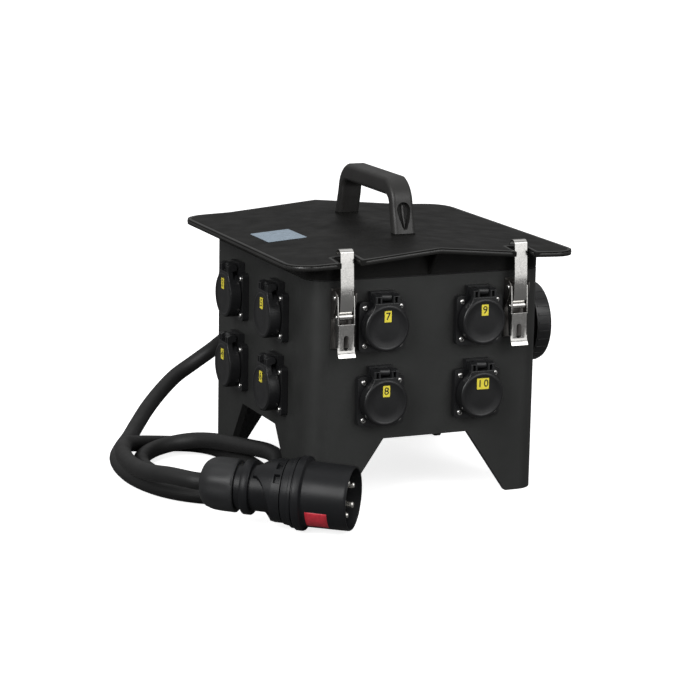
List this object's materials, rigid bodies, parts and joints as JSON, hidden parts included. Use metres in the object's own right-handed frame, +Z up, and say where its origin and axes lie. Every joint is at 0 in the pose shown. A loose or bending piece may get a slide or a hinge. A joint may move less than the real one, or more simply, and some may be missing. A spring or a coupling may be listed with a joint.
{
  "type": "portable power distribution box",
  "caption": "Legged plastic power distribution box with capped flanged outlets, a large round outlet, toggle-latched gabled lid, handle, breakers and a plug on a heavy cord.",
  "frame": {"origin": "middle of the footprint of everything but the cord and its plug, on the ground", "axes": "+Z up, -Y towards the front with the two latches, +X towards the large round outlet"},
  "size_m": [0.4693, 0.5143, 0.3145],
  "materials": {
    "housing_plastic": "moulded black plastic",
    "lid_plastic": "moulded black plastic",
    "handle_plastic": "moulded black plastic",
    "socket_plastic": "black thermoplastic",
    "plug_plastic": "black thermoplastic",
    "rubber": "matt black rubber",
    "stainless": "brushed stainless steel",
    "breaker_plastic": "light grey moulding",
    "toggle_plastic": "dark blue moulding",
    "zinc_plate": "zinc plated sheet",
    "brass": "nickel plated brass"
  },
  "bodies": {
    "box": {"housing": "housing_plastic", "lid_gasket": "rubber", "lid": "lid_plastic", "handle": "handle_plastic", "socket_front_a_upper": "socket_plastic", "socket_front_a_lower": "socket_plastic", "socket_front_b_upper": "socket_plastic", "socket_front_b_lower": "socket_plastic", "socket_left_a_upper": "socket_plastic", "socket_left_a_lower": "socket_plastic", "socket_left_b_upper": "socket_plastic", "socket_left_b_lower": "socket_plastic", "socket_back_upper": "socket_plastic", "socket_back_lower": "socket_plastic", "outlet_body": "socket_plastic", "outlet_insert": "socket_plastic", "latch_base_left": "stainless", "latch_base_right": "stainless", "lid_hinge_housing_leaf_left": "stainless", "lid_hinge_lid_leaf_left": "stainless", "lid_hinge_housing_leaf_right": "stainless", "lid_hinge_lid_leaf_right": "stainless", "gland_body": "plug_plastic", "gland_nut": "plug_plastic", "plug_nut": "plug_plastic", "plug_rear": "plug_plastic", "plug_front": "plug_plastic", "plug_pins": "brass", "supply_cord": "rubber", "breaker_tray": "zinc_plate", "residual_current_switch_body": "breaker_plastic", "breaker_1_body": "breaker_plastic", "breaker_2_body": "breaker_plastic", "breaker_3_body": "breaker_plastic"},
    "cap_front_a_upper": {"cap_front_a_upper": "socket_plastic"},
    "cap_front_a_lower": {"cap_front_a_lower": "socket_plastic"},
    "cap_front_b_upper": {"cap_front_b_upper": "socket_plastic"},
    "cap_front_b_lower": {"cap_front_b_lower": "socket_plastic"},
    "cap_left_a_upper": {"cap_left_a_upper": "socket_plastic"},
    "cap_left_a_lower": {"cap_left_a_lower": "socket_plastic"},
    "cap_left_b_upper": {"cap_left_b_upper": "socket_plastic"},
    "cap_left_b_lower": {"cap_left_b_lower": "socket_plastic"},
    "cap_back_upper": {"cap_back_upper": "socket_plastic"},
    "cap_back_lower": {"cap_back_lower": "socket_plastic"},
    "outlet_cap": {"outlet_cap": "socket_plastic"},
    "lever_left": {"latch_lever_left": "stainless"},
    "strap_left": {"latch_strap_left": "stainless"},
    "lever_right": {"latch_lever_right": "stainless"},
    "strap_right": {"latch_strap_right": "stainless"},
    "residual_current_switch_toggle": {"residual_current_switch_toggle": "toggle_plastic"},
    "breaker_1_toggle": {"breaker_1_toggle": "toggle_plastic"},
    "breaker_2_toggle": {"breaker_2_toggle": "toggle_plastic"},
    "breaker_3_toggle": {"breaker_3_toggle": "toggle_plastic"}
  },
  "joints": [
    {"name": "cap_hinge_front_a_upper", "type": "hinge", "parent": "box", "child": "cap_front_a_upper", "pos_m": [-0.0711, -0.1595, 0.2113], "axis": [-1, 0, 0], "range_deg": [0, 105], "stiffness_Nm_per_rad": 0.02, "springref_deg": -28.65},
    {"name": "cap_hinge_front_a_lower", "type": "hinge", "parent": "box", "child": "cap_front_a_lower", "pos_m": [-0.0711, -0.1595, 0.1365], "axis": [-1, 0, 0], "range_deg": [0, 105], "stiffness_Nm_per_rad": 0.02, "springref_deg": -28.65},
    {"name": "cap_hinge_front_b_upper", "type": "hinge", "parent": "box", "child": "cap_front_b_upper", "pos_m": [0.0341, -0.1595, 0.2113], "axis": [-1, 0, 0], "range_deg": [0, 105], "stiffness_Nm_per_rad": 0.02, "springref_deg": -28.65},
    {"name": "cap_hinge_front_b_lower", "type": "hinge", "parent": "box", "child": "cap_front_b_lower", "pos_m": [0.0341, -0.1595, 0.1365], "axis": [-1, 0, 0], "range_deg": [0, 105], "stiffness_Nm_per_rad": 0.02, "springref_deg": -28.65},
    {"name": "cap_hinge_left_a_upper", "type": "hinge", "parent": "box", "child": "cap_left_a_upper", "pos_m": [-0.1565, 0.045, 0.2113], "axis": [0, 1, 0], "range_deg": [0, 105], "stiffness_Nm_per_rad": 0.02, "springref_deg": -28.65},
    {"name": "cap_hinge_left_a_lower", "type": "hinge", "parent": "box", "child": "cap_left_a_lower", "pos_m": [-0.1565, 0.045, 0.1365], "axis": [0, 1, 0], "range_deg": [0, 105], "stiffness_Nm_per_rad": 0.02, "springref_deg": -28.65},
    {"name": "cap_hinge_left_b_upper", "type": "hinge", "parent": "box", "child": "cap_left_b_upper", "pos_m": [-0.1565, -0.066, 0.2113], "axis": [0, 1, 0], "range_deg": [0, 105], "stiffness_Nm_per_rad": 0.02, "springref_deg": -28.65},
    {"name": "cap_hinge_left_b_lower", "type": "hinge", "parent": "box", "child": "cap_left_b_lower", "pos_m": [-0.1565, -0.066, 0.1365], "axis": [0, 1, 0], "range_deg": [0, 105], "stiffness_Nm_per_rad": 0.02, "springref_deg": -28.65},
    {"name": "cap_hinge_back_upper", "type": "hinge", "parent": "box", "child": "cap_back_upper", "pos_m": [0.0341, 0.1385, 0.2113], "axis": [1, 0, 0], "range_deg": [0, 105], "stiffness_Nm_per_rad": 0.02, "springref_deg": -28.65},
    {"name": "cap_hinge_back_lower", "type": "hinge", "parent": "box", "child": "cap_back_lower", "pos_m": [0.0341, 0.1385, 0.1365], "axis": [1, 0, 0], "range_deg": [0, 105], "stiffness_Nm_per_rad": 0.02, "springref_deg": -28.65},
    {"name": "outlet_cap_hinge", "type": "hinge", "parent": "box", "child": "outlet_cap", "pos_m": [0.1545, -0.0105, 0.192], "axis": [0, -1, 0], "range_deg": [0, 110], "stiffness_Nm_per_rad": 0.1, "springref_deg": -22.92},
    {"name": "lever_hinge_left", "type": "hinge", "parent": "box", "child": "lever_left", "pos_m": [-0.1125, -0.156, 0.213], "axis": [-1, 0, 0], "range_deg": [0, 105]},
    {"name": "strap_hinge_left", "type": "hinge", "parent": "lever_left", "child": "strap_left", "pos_m": [-0.1125, -0.1565, 0.194], "axis": [-1, 0, 0], "range_deg": [-105, 0]},
    {"name": "lever_hinge_right", "type": "hinge", "parent": "box", "child": "lever_right", "pos_m": [0.0755, -0.156, 0.213], "axis": [-1, 0, 0], "range_deg": [0, 105]},
    {"name": "strap_hinge_right", "type": "hinge", "parent": "lever_right", "child": "strap_right", "pos_m": [0.0755, -0.1565, 0.194], "axis": [-1, 0, 0], "range_deg": [-105, 0]},
    {"name": "residual_current_switch_toggle_hinge", "type": "hinge", "parent": "box", "child": "residual_current_switch_toggle", "pos_m": [-0.0535, -0.0105, 0.2125], "axis": [1, 0, 0], "range_deg": [0, 64]},
    {"name": "breaker_1_toggle_hinge", "type": "hinge", "parent": "box", "child": "breaker_1_toggle", "pos_m": [-0.00975, -0.0105, 0.2125], "axis": [1, 0, 0], "range_deg": [0, 64]},
    {"name": "breaker_2_toggle_hinge", "type": "hinge", "parent": "box", "child": "breaker_2_toggle", "pos_m": [0.00775, -0.0105, 0.2125], "axis": [1, 0, 0], "range_deg": [0, 64]},
    {"name": "breaker_3_toggle_hinge", "type": "hinge", "parent": "box", "child": "breaker_3_toggle", "pos_m": [0.02525, -0.0105, 0.2125], "axis": [1, 0, 0], "range_deg": [0, 64]}
  ],
  "couplings": [
    {"joint": "strap_hinge_left", "follows": "lever_hinge_left", "ratio": -1},
    {"joint": "strap_hinge_right", "follows": "lever_hinge_right", "ratio": -1}
  ]
}
